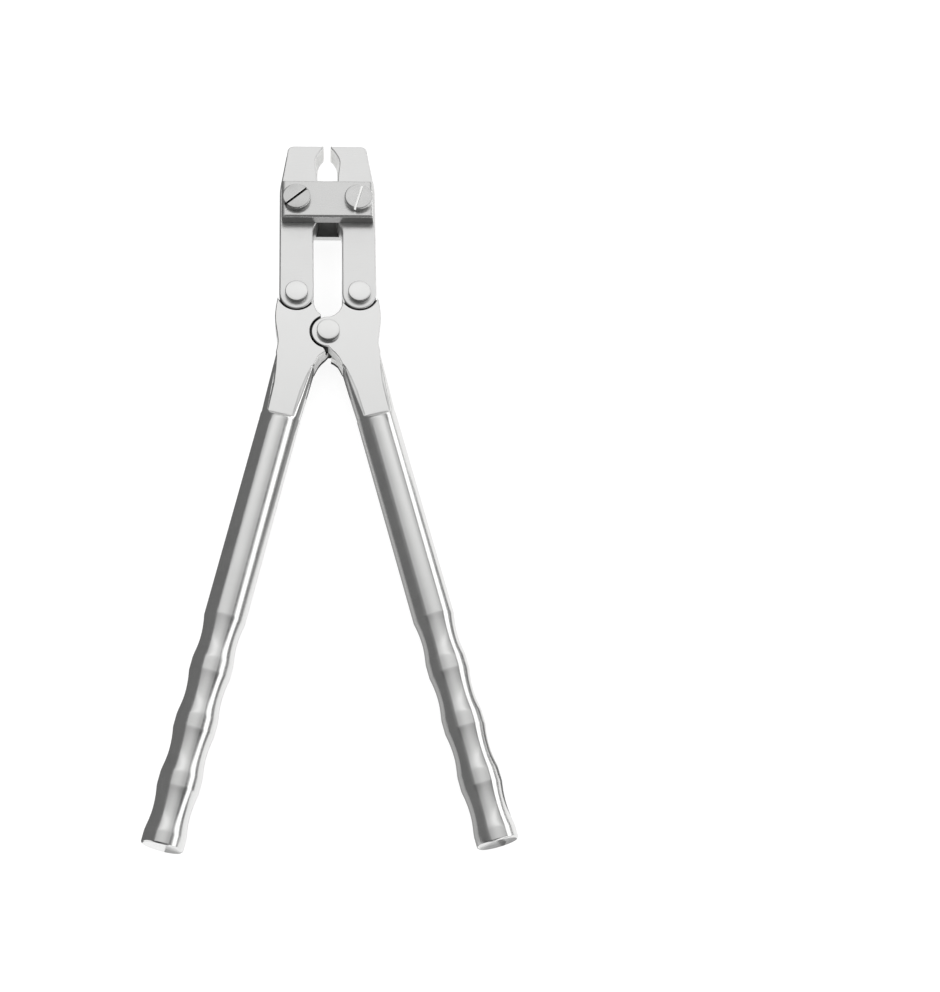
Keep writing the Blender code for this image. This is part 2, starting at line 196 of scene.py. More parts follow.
def lathe(profile, centre, axis=(0, 0, 1), sides=96):
    axis = Vector(axis).normalized()
    side = axis.orthogonal().normalized()
    other = axis.cross(side)
    bm = bmesh.new()
    rings = []
    for t, r in profile:
        middle = Vector(centre) + axis * t
        rings.append(
            [
                bm.verts.new(
                    middle + side * (r * math.cos(2 * math.pi * k / sides)) + other * (r * math.sin(2 * math.pi * k / sides))
                )
                for k in range(sides)
            ]
        )
    for first, second in zip(rings, rings[1:]):
        for k in range(sides):
            j = (k + 1) % sides
            bm.faces.new((first[k], first[j], second[j], second[k]))
    bm.faces.new(list(reversed(rings[0])))
    bm.faces.new(rings[-1])
    return bm


def box(low, high):
    bm = bmesh.new()
    bmesh.ops.create_cube(bm, size=1.0)
    for vert in bm.verts:
        vert.co = Vector([low[i] if vert.co[i] < 0 else high[i] for i in range(3)])
    return bm


def turned_over(bm):
    for vert in bm.verts:
        vert.co.x, vert.co.z = -vert.co.x, -vert.co.z
    return bm


def as_object(bm, name):
    bmesh.ops.recalc_face_normals(bm, faces=bm.faces)
    mesh = bpy.data.meshes.new(name)
    bm.to_mesh(mesh)
    bm.free()
    obj = bpy.data.objects.new(name, mesh)
    bpy.context.scene.collection.objects.link(obj)
    return obj


def combined(base, tools):
    """The base bmesh after exact Booleans with (bmesh, operation) tools, as a new bmesh."""
    obj = as_object(base, "work")
    helpers = []
    for i, (tool, operation) in enumerate(tools):
        helper = as_object(tool, f"tool_{i}")
        helper.hide_render = True
        modifier = obj.modifiers.new(f"tool_{i}", "BOOLEAN")
        modifier.operation, modifier.object, modifier.solver = operation, helper, "EXACT"
        helpers.append(helper)
    bpy.context.view_layer.update()
    out = bmesh.new()
    out.from_mesh(obj.evaluated_get(bpy.context.evaluated_depsgraph_get()).to_mesh())
    for used in [obj, *helpers]:
        bpy.data.objects.remove(used, do_unlink=True)
    return out


def piece(bm, name, node, body, material, sharp=32.0, others=()):
    """The finished visual piece that stands for a node. A face gets the first other material whose test holds for it."""
    bmesh.ops.dissolve_degenerate(bm, edges=bm.edges, dist=2e-4)
    bmesh.ops.recalc_face_normals(bm, faces=bm.faces)
    for face in bm.faces:
        middle = face.calc_center_median()
        face.material_index = next((i for i, (_, test) in enumerate(others, 1) if test(middle, face.normal)), 0)
    for vert in bm.verts:
        vert.co = (vert.co + CENTRE) * MM
    mesh = bpy.data.meshes.new(name)
    bm.to_mesh(mesh)
    bm.free()
    mesh.shade_smooth()
    mesh.set_sharp_from_angle(angle=math.radians(sharp))
    obj = bpy.data.objects.new(name, mesh)
    bpy.context.scene.collection.objects.link(obj)
    modifier = obj.modifiers.new("even_normals", "WEIGHTED_NORMAL")
    modifier.keep_sharp, modifier.weight = True, 60
    mesh.materials.append(material)
    for other, _ in others:
        mesh.materials.append(other)
    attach(obj, body)
    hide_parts(node)
    return obj


# ---- materials ---------------------------------------------------------------
def steel(name, colour, rough, grain=(900.0, 40.0, 900.0), turn=0.0, depth=1.2e-6, spread=0.05, swirl=None, blotch=0.02, metal=1.0):
    """Brushed stainless steel: fine grain along one direction, slow variation of gloss, and faint handling marks."""
    material = bpy.data.materials.new(name)
    material.use_nodes = True
    nodes, links = material.node_tree.nodes, material.node_tree.links
    shader = nodes["Principled BSDF"]
    shader.inputs["Metallic"].default_value = metal
    coords = nodes.new("ShaderNodeTexCoord")
    place = nodes.new("ShaderNodeMapping")
    place.vector_type = "POINT"
    links.new(coords.outputs["Object"], place.inputs["Vector"])
    turned = nodes.new("ShaderNodeMapping")
    turned.inputs["Rotation"].default_value = (0, 0, turn)
    place.inputs["Scale"].default_value = (1, 1, 1)
    if swirl is not None:
        # Turned marks: rings about a point.
        place.inputs["Location"].default_value = (-swirl[0], -swirl[1], 0)
        split = nodes.new("ShaderNodeSeparateXYZ")
        links.new(place.outputs["Vector"], split.inputs["Vector"])
        length = nodes.new("ShaderNodeVectorMath")
        length.operation = "LENGTH"
        flat = nodes.new("ShaderNodeCombineXYZ")
        links.new(split.outputs["X"], flat.inputs["X"])
        links.new(split.outputs["Y"], flat.inputs["Y"])
        links.new(flat.outputs["Vector"], length.inputs[0])
        ring = nodes.new("ShaderNodeCombineXYZ")
        links.new(length.outputs["Value"], ring.inputs["X"])
        links.new(split.outputs["Z"], ring.inputs["Z"])
        links.new(ring.outputs["Vector"], turned.inputs["Vector"])
    else:
        links.new(place.outputs["Vector"], turned.inputs["Vector"])
    stretch = nodes.new("ShaderNodeVectorMath")
    stretch.operation = "MULTIPLY"
    stretch.inputs[1].default_value = grain
    links.new(turned.outputs["Vector"], stretch.inputs[0])
    fine = nodes.new("ShaderNodeTexNoise")
    fine.inputs["Scale"].default_value = 4.0
    fine.inputs["Detail"].default_value = 4.0
    fine.inputs["Roughness"].default_value = 0.65
    links.new(stretch.outputs["Vector"], fine.inputs["Vector"])
    slow = nodes.new("ShaderNodeTexNoise")
    slow.inputs["Scale"].default_value = 140.0
    slow.inputs["Detail"].default_value = 3.0
    links.new(coords.outputs["Object"], slow.inputs["Vector"])
    # roughness = rough + grain + slow blotches
    grain_part = nodes.new("ShaderNodeMapRange")
    grain_part.inputs["From Min"].default_value, grain_part.inputs["From Max"].default_value = 0.3, 0.7
    grain_part.inputs["To Min"].default_value, grain_part.inputs["To Max"].default_value = rough - spread, rough + spread
    links.new(fine.outputs["Fac"], grain_part.inputs["Value"])
    slow_part = nodes.new("ShaderNodeMapRange")
    slow_part.inputs["From Min"].default_value, slow_part.inputs["From Max"].default_value = 0.35, 0.65
    slow_part.inputs["To Min"].default_value, slow_part.inputs["To Max"].default_value = -0.025, 0.025
    links.new(slow.outputs["Fac"], slow_part.inputs["Value"])
    total = nodes.new("ShaderNodeMath")
    total.operation = "ADD"
    links.new(grain_part.outputs["Result"], total.inputs[0])
    links.new(slow_part.outputs["Result"], total.inputs[1])
    links.new(total.outputs["Value"], shader.inputs["Roughness"])
    # colour: slightly darker in the bottom of the grain and in slow blotches
    tone = nodes.new("ShaderNodeMapRange")
    tone.inputs["From Min"].default_value, tone.inputs["From Max"].default_value = 0.3, 0.7
    tone.inputs["To Min"].default_value, tone.inputs["To Max"].default_value = 1.0 - 1.5 * blotch, 1.0 + blotch
    links.new(fine.outputs["Fac"], tone.inputs["Value"])
    tone_slow = nodes.new("ShaderNodeMapRange")
    tone_slow.inputs["From Min"].default_value, tone_slow.inputs["From Max"].default_value = 0.3, 0.7
    tone_slow.inputs["To Min"].default_value, tone_slow.inputs["To Max"].default_value = 1.0 - blotch, 1.0 + blotch
    links.new(slow.outputs["Fac"], tone_slow.inputs["Value"])
    both = nodes.new("ShaderNodeMath")
    both.operation = "MULTIPLY"
    links.new(tone.outputs["Result"], both.inputs[0])
    links.new(tone_slow.outputs["Result"], both.inputs[1])
    tint = nodes.new("ShaderNodeVectorMath")
    tint.operation = "SCALE"
    tint.inputs[0].default_value = colour
    links.new(both.outputs["Value"], tint.inputs["Scale"])
    links.new(tint.outputs["Vector"], shader.inputs["Base Color"])
    bump = nodes.new("ShaderNodeBump")
    bump.inputs["Strength"].default_value = 1.0
    bump.inputs["Distance"].default_value = depth
    links.new(fine.outputs["Fac"], bump.inputs["Height"])
    links.new(bump.outputs["Normal"], shader.inputs["Normal"])
    return material


# ---- side plates --------------------------------------------------------------
END_SHARE = 1.65  # the chamfers on the plate's short ends are wider and flatter


def side_plate(front):
    sign = 1 if front else -1
    inner = HALF + SLIDE_GAP

    def outline(d):
        hx, hy, r = PLATE_HALF_X - d * END_SHARE, PLATE_HALF_Y - d, 0.45
        points = []
        for cx, cy, start in ((1, 1, 0), (-1, 1, 90), (-1, -1, 180), (1, -1, 270)):
            points += arc(cx * (hx - r), PLATE_Y + cy * (hy - r), r, start, start + 90, 5)
        return points

    c, e = PLATE_CHAMFER if front else REAR_CHAMFER, 0.1
    levels = [(inner, e), (inner + 0.3 * e, 0.3 * e), (inner + e, 0.0)]
    # The chamfer is slightly crowned: an arc of 54 degrees about its middle.
    crown = c / (math.sin(math.radians(72)) - math.sin(math.radians(18)))
    for i in range(7):
        a = math.radians(18 + 54 * i / 6)
        levels.append((PLATE_TOP - c + crown * (math.sin(a) - math.sin(math.radians(18))), crown * (math.cos(math.radians(18)) - math.cos(a))))
    layers = [(sign * z, outline(d)) for z, d in levels]
    if not front:
        layers.reverse()
    tools = []
    for side in (-1, 1):
        r = SCREW_SHANK_R + HOLE_PLAY
        hole = [(inner - 1, r + 0.25 + 1), (inner + 0.25, r), (PLATE_TOP - 0.25, r), (PLATE_TOP + 1, r + 1.25)]
        tools.append((lathe([(sign * z, q) for z, q in hole], (side * JAW_X, SCREW_Y, 0)), "DIFFERENCE"))
    return combined(loft(layers), tools)


# ---- screws and pins ----------------------------------------------------------
def round_rim(seat, r, h, edge, steps=6, crown=0.0):
    """Profile of a head: a straight side, a rounded edge and a slightly crowned face."""
    points = [(seat, r - 0.12), (seat + 0.12, r), (seat + h - crown - edge, r)]
    for i in range(1, steps + 1):
        a = math.pi / 2 * i / steps
        points.append((seat + h - crown - edge * (1 - math.sin(a)), r - edge * (1 - math.cos(a))))
    face = r - edge
    for share in (0.8, 0.55, 0.3, 0.1):
        points.append((seat + h - crown * share**2, face * share))
    return points


def jaw_screw(side):
    seat = PLATE_TOP + 0.1
    r, h = SCREW_HEAD_R, SCREW_HEAD_H
    thread = []
    z = -PLATE_TOP + 0.6
    while z < -PLATE_TOP + 3.6:
        thread += [(z, SCREW_SHANK_R), (z + 0.2, SCREW_SHANK_R), (z + 0.45, SCREW_SHANK_R - 0.3), (z + 0.55, SCREW_SHANK_R - 0.3), (z + 0.8, SCREW_SHANK_R)]
        z += 0.8
    profile = [(-PLATE_TOP + 0.25, SCREW_SHANK_R - 0.5), (-PLATE_TOP + 0.32, SCREW_SHANK_R - 0.36)] + thread[:1]
    for point in thread[1:]:
        if point[0] > profile[-1][0] + 1e-6:
            profile.append(point)
    profile += [(seat, SCREW_SHANK_R)] + round_rim(seat, r, h, 0.55, 7, 0.1)
    x, y = side * JAW_X, SCREW_Y
    w = SLOT_W / 2
    top = seat + h
    # The slot's section has slightly broken edges.
    section = [(-w, top - SLOT_DEPTH), (w, top - SLOT_DEPTH), (w, top - 0.16), (w + 1.16, top + 1.0), (-w - 1.16, top + 1.0), (-w, top - 0.16)]
    slot = bmesh.new()
    rows = [[slot.verts.new((x_end, a, b)) for a, b in section] for x_end in (-r - 1, r + 1)]
    for i in range(len(section)):
        j = (i + 1) % len(section)
        slot.faces.new((rows[0][i], rows[0][j], rows[1][j], rows[1][i]))
    slot.faces.new(list(reversed(rows[0])))
    slot.faces.new(rows[1])
    bmesh.ops.rotate(slot, cent=(0, 0, 0), matrix=Matrix.Rotation(math.radians(SLOT_ANGLES[side]), 3, "Z"), verts=slot.verts)
    bmesh.ops.translate(slot, vec=(x, y, 0), verts=slot.verts)
    return combined(lathe(profile, (x, y, 0)), [(slot, "DIFFERENCE")])


def rivet_pin(x, y, shank):
    seat = HALF + 0.1
    head = [(seat, shank)] + round_rim(seat, PIN_HEAD_R, PIN_HEAD_H, 0.32, 6, 0.06)
    return lathe([(-t, r) for t, r in reversed(head)] + head, (x, y, 0))


# ---- jaws ---------------------------------------------------------------------
INNER_FACE = [
    (1.18, 76.2), (1.3, 75.3), (2.05, 74.45), (2.75, 73.45), (3.4, 72.3), (4.05, 71.0), (4.33, 69.7), (4.35, 68.4),
    (4.1, 66.4), (3.85, 64.2), (3.68, 61.8), (3.4, 57.0), (3.1, 52.9), (3.1, 49.7), (3.4, 46.5),
    (4.05, 43.9), (4.75, 42.4), (5.15, 40.8), (5.22, 39.0), (5.15, 34.0),
]  # fmt: skip
INNER_EDGE = [
    (1.2, 76.2), (1.27, 75.5), (1.38, 74.6), (1.52, 73.7), (1.82, 72.6), (2.55, 71.2), (3.15, 69.8), (3.5, 68.6),
    (3.68, 66.6), (3.7, 64.3), (3.68, 61.8), (3.4, 57.0), (3.1, 52.9), (3.1, 49.7), (3.4, 46.5),
    (4.05, 43.9), (4.75, 42.4), (5.15, 40.8), (5.22, 39.0), (5.15, 34.0),
]  # fmt: skip


def jaw(side):
    x, outer = JAW_X, JAW_X + JAW_HALF
    rest = [(x + (px - x) * JAW_HALF / JAW_END_R, py) for px, py in arc(x, PIN_Y, JAW_END_R, 180, 360, 48)]
    rest += [(outer, 30.0), (outer, 44.0), (outer - 0.02, 55.6)]
    rest += smooth_run([(outer - 0.04, 56.6), (outer - 0.17, 58.4), (outer - 0.42, 60.2)], 3)
    rest += [(15.98, 65.8), (14.9, 72.4)]
    rest += arc(12.23, 73.7, 2.5, 8, 88, 12)
    face = smooth_run(INNER_FACE, 4) + rest
    middle = smooth_run(INNER_EDGE, 4) + rest
    if side < 0:
        face = [(-px, py) for px, py in reversed(face)]
        middle = [(-px, py) for px, py in reversed(middle)]
    r = 0.6
    layers = []
    for i in range(6):
        a = math.pi / 2 * i / 5
        layers.append((-HALF + r * (1 - math.cos(a)), inset(face, r * (1 - math.sin(a)))))
    layers += [(-EDGE_LAND, middle), (EDGE_LAND, middle)]
    layers += [(-z, points) for z, points in reversed(layers[:6])]
    slot = box((side * x - 9, PIN_Y - 9, -FORK_T / 2), (side * x + 9, PIN_Y + FORK_DEPTH, FORK_T / 2))
    pin = PIN_SHANK_R + HOLE_PLAY
    screw = SCREW_SHANK_R + HOLE_PLAY
    return combined(
        loft(layers),
        [
            (slot, "DIFFERENCE"),
            (lathe([(-9, pin), (9, pin)], (side * x, PIN_Y, 0)), "DIFFERENCE"),
            (lathe([(-9, screw), (9, screw)], (side * x, SCREW_Y, 0)), "DIFFERENCE"),
        ],
    )


# ---- handles --------------------------------------------------------------------
def bar_profile():
    """(distance, radius) down the bar from below the shank, with its scallops and lands."""
    points = [(40.0 + 5.0 * i, BAR_R) for i in range(14)] + [(108.0, BAR_R), (110.2, BAR_R), (110.55, BAR_R - 0.006)]
    land = BAR_R
    for scallop in range(GRIP_SCALLOPS):
        start = GRIP_START + GRIP_PITCH * scallop
        steps = 26
        for i in range(steps + 1):
            x = -1 + 2 * i / steps
            depth = GRIP_DEPTH * (1 - x * x) ** (1.0 if x < 0 else 1.5)
            edge = land + (LAND_R - land) * (x + 1) / 2
            shift = 0.02 if i == 0 else 0.0
            points.append((start + GRIP_CHORD * (x + 1) / 2, edge - depth - shift))
        land = LAND_R
        end = start + GRIP_CHORD
        nxt = start + GRIP_PITCH
        if scallop < GRIP_SCALLOPS - 1:
            points += [(end + 1.2, LAND_R), (nxt - 0.5, LAND_R), (nxt - 0.15, LAND_R - 0.006)]
    stop = BAR_END - END_CHAMFER
    points += [(stop - 0.12, LAND_R), (stop - 0.03, LAND_R - 0.02), (stop + 0.06, LAND_R - 0.09)]
    points += [(BAR_END - 0.09, LAND_R - END_CHAMFER + 0.06), (BAR_END - 0.02, LAND_R - END_CHAMFER - 0.03), (BAR_END, LAND_R - END_CHAMFER - 0.14)]
    return points


def section(r, half_t, half_w, corner, power=20.0, second=67.5):
    """A round of radius r cut flat at half_t and half_w, its corners slightly broken, with edge lines along them."""
    side_cut = math.degrees(math.acos(min(half_w / r, 1.0)))
    second = min(math.degrees(math.asin(half_t / r)), 80.0) if half_t < r else second
    first = min(max(side_cut, corner), second - 3.5)
    quarter = [0, first * 0.33, first * 0.66, first - 1.6, first - 0.5, first + 0.5, first + 1.6]
    span = second - first - 3.2
    quarter += [first + 1.6 + span * i / 6 for i in range(1, 6)]
    quarter += [second - 1.6, second - 0.5, second + 0.5, second + 1.6]
    quarter += [second + 1.6 + (90 - second - 1.6) * i / 4 for i in range(1, 4)]
    angles = quarter + [90.0] + [180 - a for a in quarter[:0:-1]]
    points = []
    for a in angles + [180 + a for a in angles]:
        a = math.radians(a)
        ca, sa = max(abs(math.cos(a)), 1e-6), max(abs(math.sin(a)), 1e-6)
        reach = (r**-power + (half_w / ca) ** -power + (half_t / sa) ** -power) ** (-1 / power)
        points.append((reach * math.cos(a), reach * math.sin(a)))
    return points


def head_outline():
    outer = [on_bar(t, w) for t, w in ((36, 4.4), (24, 4.9), (18, 5.8), (14, 6.6), (12, 7.2))]
    bulge = smooth_run(
        [(18.2, -7.0), (17.8, -4.5), (17.85, -2.5), (18.3, 1.0), (18.7, 4.0), (18.75, 7.0), (18.4, 10.5), (17.75, 14.0)], 6
    )  # fmt: skip
    window = smooth_run([(5.1, 12.5), (5.0, 11.0), (4.65, 9.6), (3.95, 8.3), (3.2, 7.45), (2.55, 6.85), (1.7, 6.35), (1.0, 6.05)], 3)
    boss = arc(0, 0, BOSS_R, 86, 270, 64)
    crotch = smooth_run([(0.9, -7.0), (1.296, -7.37)], 1)
    crotch += [(1.0, -8.1)] + smooth_run([(1.35, -8.25), (2.0, -8.6), (3.2, -9.6), (3.66, -10.2), (4.1, -11.05), (4.9, -12.75)], 3)
    inner = [on_bar(t, w) for t, w in ((15, -6.4), (19, -5.6), (25, -4.8), (36, -4.4))]
    return outer + bulge + window + boss + crotch + inner


SHANK_CUT = 40.0
# Height where the crotch walls change from painted shade below to painted highlight above.
CROTCH_EDGE = -HALF + 2.0


def shank():
    start, wide = 11.5, 4 * BAR_R
    flat = HALF - 0.002
    sections = []
    for i in range(31):
        u = i / 30
        sections.append((start + (FLAT_END - start) * u, HEAD_ROUND_R + (BAR_R - HEAD_ROUND_R) * u, flat, SHANK_HALF, 12.0))
    steps = 16
    for i in range(1, steps + 1):
        u = i / steps
        rise = 0.5 * ((SHANK_CUT - FLAT_END) * u) ** 2
        closed = max(0.0, (u - 0.35) / 0.65)
        sections.append((FLAT_END + (SHANK_CUT - FLAT_END) * u, BAR_R, flat + rise, wide, 12.0 + 10.5 * u, 20.0, 80.0 - 12.5 * closed))
    bm = bmesh.new()
    rings = [[bm.verts.new((*on_bar(t, w), z)) for w, z in section(*shape)] for t, *shape in sections]
    for first, second in zip(rings, rings[1:]):
        for k in range(len(first)):
            j = (k + 1) % len(first)
            bm.faces.new((first[k], first[j], second[j], second[k]))
    bm.faces.new(list(reversed(rings[0])))
    bm.faces.new(rings[-1])
    return bm


def add_bar(bm):
    """Carries the shank's open end on down the bar, point by point."""
    bm.verts.ensure_lookup_table()

    def along(co):
        return co.x * SIN - co.y * COS

    ends = {v for v in bm.verts if abs(along(v.co) - SHANK_CUT) < 2e-3}
    caps = [f for f in bm.faces if all(v in ends for v in f.verts)]
    bmesh.ops.delete(bm, geom=caps, context="FACES_ONLY")
    wide = 4 * BAR_R
    shapes = [(t, section(r, wide, wide, 22.5)) for t, r in bar_profile() if t > SHANK_CUT + 0.1]
    ring = []
    for w, z in section(BAR_R, wide, wide, 22.5):
        target = Vector((*on_bar(SHANK_CUT, w), z))
        ring.append(min(ends, key=lambda v: (v.co - target).length_squared))
    if len(set(ring)) != len(ring):
        raise ValueError("the bar's end ring isn't whole")
    for t, shape in shapes:
        new = [bm.verts.new((*on_bar(t, w), z)) for w, z in shape]
        for k in range(len(ring)):
            j = (k + 1) % len(ring)
            bm.faces.new((ring[k], ring[j], new[j], new[k]))
        ring = new
    bm.faces.new(ring)


def handle(side):
    tools = [(shank(), "UNION")]
    pocket = [(3.0, 7.7), (2.62, 6.7)] + arc(0, 0, POCKET_R, 67, -73, 48)
    pocket += [(1.78, -6.5), (1.1, -7.6), (0.0, -9.0), (-9.0, -9.0), (-9.0, 9.0), (2.0, 9.0)]
    tools.append((loft([(-HALF - 0.2, inset(pocket, -0.32)), (-HALF + 0.12, pocket), (LAP_GAP, pocket)]), "DIFFERENCE"))
    hook = [(0.8, -7.45), (1.33, -7.4), (2.4, -8.4), (3.6, -10.0), (3.4, -10.6), (-2.0, -12.0)]
    tools.append((loft([(-LAP_GAP, hook), (HALF - 0.18, hook), (HALF + 0.2, inset(hook, -0.38))]), "DIFFERENCE"))
    r = SHOULDER_R
    for face in (1, -1):
        profile = [(TONGUE_T / 2, r), (HALF - 0.2, r), (HALF + 0.6, r + 0.8)]
        tools.append((lathe([(face * z, q) for z, q in profile], (JAW_X, PIN_Y, 0)), "DIFFERENCE"))
    tongue = [(-TONGUE_T / 2, TONGUE_R - 0.2), (-TONGUE_T / 2 + 0.2, TONGUE_R), (TONGUE_T / 2 - 0.2, TONGUE_R), (TONGUE_T / 2, TONGUE_R - 0.2)]
    tools.append((lathe(tongue, (JAW_X, PIN_Y, 0)), "UNION"))
    hole = PIN_SHANK_R + HOLE_PLAY
    tools.append((lathe([(-9, hole), (9, hole)], (JAW_X, PIN_Y, 0)), "DIFFERENCE"))
    hole = PIVOT_SHANK_R + (HOLE_PLAY if side > 0 else PIVOT_PLAY)
    tools.append((lathe([(-9, hole), (9, hole)], (0, 0, 0)), "DIFFERENCE"))
    bm = combined(loft(rounded(head_outline(), -HALF, HALF, 0.35, 0.35, 4)), tools)
    add_bar(bm)
    if side < 0:
        bm = turned_over(bm)
    # The crotch's walls are divided above their lower edge, where the painted shade below meets the painted highlight
    # above.
    bm.normal_update()
    walls = [face for face in bm.faces if crotch_wall(face.calc_center_median(), face.normal)]
    parts = walls + list({edge for face in walls for edge in face.edges}) + list({vert for face in walls for vert in face.verts})
    bmesh.ops.bisect_plane(bm, geom=parts, dist=1e-5, plane_co=(0, 0, CROTCH_EDGE), plane_no=(0, 0, 1))
    return bm


# ---- pieces ---------------------------------------------------------------------
centre_m = CENTRE * MM


def spot(x, y):
    return (x * MM + centre_m.x, y * MM + centre_m.y)


jaw_look = steel("jaw_brushed", (0.76, 0.76, 0.755), 0.33, grain=(60.0, 1500.0, 60.0))
plate_look = steel("plate_brushed", (0.63, 0.63, 0.625), 0.27, grain=(60.0, 1500.0, 1500.0))
pin_look = steel("pin_satin", (0.74, 0.74, 0.735), 0.2, grain=(500.0, 500.0, 500.0), depth=6e-7)
# Painted highlight: near-white, barely metallic steel that shows bright as the floor's reflection would, on the jaws'
# inner tip faces and the upper crotch walls.
painted_highlight_look = steel("painted_highlight_white", (0.93, 0.93, 0.92), 0.42, grain=(260.0, 260.0, 700.0), depth=8e-6, spread=0.08, blotch=0.08, metal=0.15)
# Painted shade: dark steel on the pin heads' side walls.
pin_side_painted_shade = steel("pin_side_painted_shade", (0.36, 0.36, 0.358), 0.25, grain=(500.0, 500.0, 500.0))
# Painted highlight: bright glossy steel in the right screw's slot.
slot_painted_highlight = steel("slot_painted_highlight_steel", (0.84, 0.84, 0.83), 0.14, grain=(500.0, 500.0, 500.0), depth=4e-7)
# Painted shade: dark steel on the front plate's downward-facing lower face.
lower_face_painted_shade_look = steel("plate_lower_face_painted_shade", (0.34, 0.34, 0.338), 0.3, grain=(60.0, 1500.0, 1500.0))
# Painted shade: near-black steel in the left screw's slot, on the faces deep in the handles' joint pockets and on the
# crotch's rear lower edge.
painted_shade_look = steel("painted_shade_near_black", (0.1, 0.1, 0.098), 0.45, grain=(500.0, 500.0, 500.0))
# Painted shade: dark steel on the plates' inner faces, in the pocket between the plates and the jaws.
inner_painted_shade_look = steel("plate_inside_painted_shade", (0.24, 0.24, 0.238), 0.35, grain=(60.0, 1500.0, 1500.0))


# The plates' inner faces, which get painted shade.
def inside_plates(spot, normal):
    return abs(spot.z) < HALF + SLIDE_GAP + 0.02


# Faces looking down the object, which get painted shade.
def lower_edge(spot, normal):
    return normal.y < -0.9 and abs(normal.z) < 0.3


# The jaws' inner tip faces, which get the painted highlight.
def tip_painted_highlight(spot, normal):
    return spot.y > 64 and abs(spot.x) < 4.6 and abs(spot.z) < HALF - 0.3


# Faces deep in the joint pockets, which get painted shade.
def in_joint(side):
    def test(spot, normal):
        x, z = spot.x * side, spot.z * side
        if math.hypot(x - JAW_X, spot.y - PIN_Y) < SHOULDER_R + 0.02:
            return abs(z) < HALF - 0.2
        return math.hypot(x, spot.y) < POCKET_R + 0.02 and x < 1.2 and abs(z) < HALF - 0.3 and -5.9 < spot.y < 6.2

    return test


# The slot's faces; the left slot gets painted shade, the right slot a painted highlight.
def in_slot(side):
    a = math.radians(SLOT_ANGLES[side])

    def test(spot, normal):
        off = (spot.y - SCREW_Y) * math.cos(a) - (spot.x - side * JAW_X) * math.sin(a)
        return abs(off) < SLOT_W / 2 + 0.12 and spot.z > PLATE_TOP + SCREW_HEAD_H + 0.08 - SLOT_DEPTH

    return test


# The pin heads' side walls, which get painted shade.
def pin_rim(spot, normal):
    return abs(normal.z) < 0.7 and abs(spot.z) > HALF + 0.05


def at_crotch(spot):
    return -22.5 < spot.y < -5.8 and abs(spot.x) < 5.2


# The upper part of the crotch walls, which gets the painted highlight.
def crotch_wall(spot, normal):
    return at_crotch(spot) and abs(spot.z) < HALF - 0.1 and abs(normal.z) < 0.6 and normal.y < 0.05


# The crotch's rear lower edge, which gets painted shade.
def crotch_arris(spot, normal):
    return at_crotch(spot) and spot.z < CROTCH_EDGE and abs(normal.z) < 0.98 and normal.y < 0.05


piece(side_plate(True), "front_side_plate", "front_plate", "side_plates", plate_look, 32.0, [(inner_painted_shade_look, inside_plates), (lower_face_painted_shade_look, lower_edge)])
piece(side_plate(False), "rear_side_plate", "rear_plate", "side_plates", plate_look, 32.0, [(inner_painted_shade_look, inside_plates)])
for side, word in ((-1, "left"), (1, "right")):
    screw_look = steel(
        f"screw_{word}_turned", (0.58, 0.58, 0.575) if side < 0 else (0.63, 0.63, 0.625), 0.26, grain=(1200.0, 1200.0, 300.0), swirl=spot(side * JAW_X, SCREW_Y), depth=5e-6, spread=0.08, blotch=0.09
    )
    handle_look = steel(
        f"handle_{word}_turned", (0.72, 0.72, 0.715), 0.2, grain=(60.0, 1400.0, 60.0), turn=-side * HANDLE_ANGLE, depth=1e-6, spread=0.04
    )
    # Painted light in the slots: shade painted in the left one, a highlight painted in the right one.
    slot_painted_light_look = painted_shade_look if side < 0 else slot_painted_highlight
    piece(jaw_screw(side), f"slotted_screw_{word}", f"screw_{word}", "side_plates", screw_look, 32.0, [(slot_painted_light_look, in_slot(side))])
    piece(jaw(side), f"cutting_jaw_{word}", f"jaw_{word}", f"{word}_jaw", jaw_look, 32.0, [(painted_highlight_look, tip_painted_highlight)])
    piece(rivet_pin(side * JAW_X, PIN_Y, PIN_SHANK_R), f"headed_pin_{word}", f"jaw_pin_{word}", f"{word}_jaw", pin_look, 32.0, [(pin_side_painted_shade, pin_rim)])
    piece(handle(side), f"waved_handle_{word}", f"handle_{word}", f"{word}_handle", handle_look, 32.0, [(painted_shade_look, in_joint(side)), (painted_shade_look, crotch_arris), (painted_highlight_look, crotch_wall)])
piece(rivet_pin(0, 0, PIVOT_SHANK_R), "headed_pivot_pin", "pivot_pin", "right_handle", pin_look, 32.0, [(pin_side_painted_shade, pin_rim)])


# ---- floor ----------------------------------------------------------------------
bm = bmesh.new()
bmesh.ops.create_grid(bm, x_segments=8, y_segments=8, size=2.5)
mesh = bpy.data.meshes.new("floor")
bm.to_mesh(mesh)
bm.free()
floor = bpy.data.objects.new("floor", mesh)
floor.location = (0, 0, -0.00005)
bpy.context.scene.collection.objects.link(floor)
paint = bpy.data.materials.new("floor_white")
paint.use_nodes = True
shader = paint.node_tree.nodes["Principled BSDF"]
shader.inputs["Base Color"].default_value = (0.34, 0.34, 0.34, 1)
shader.inputs["Emission Color"].default_value = (1, 1, 1, 1)
shader.inputs["Emission Strength"].default_value = 0.8
shader.inputs["Roughness"].default_value = 1.0
shader.inputs["Specular IOR Level"].default_value = 0.0
mesh.materials.append(paint)


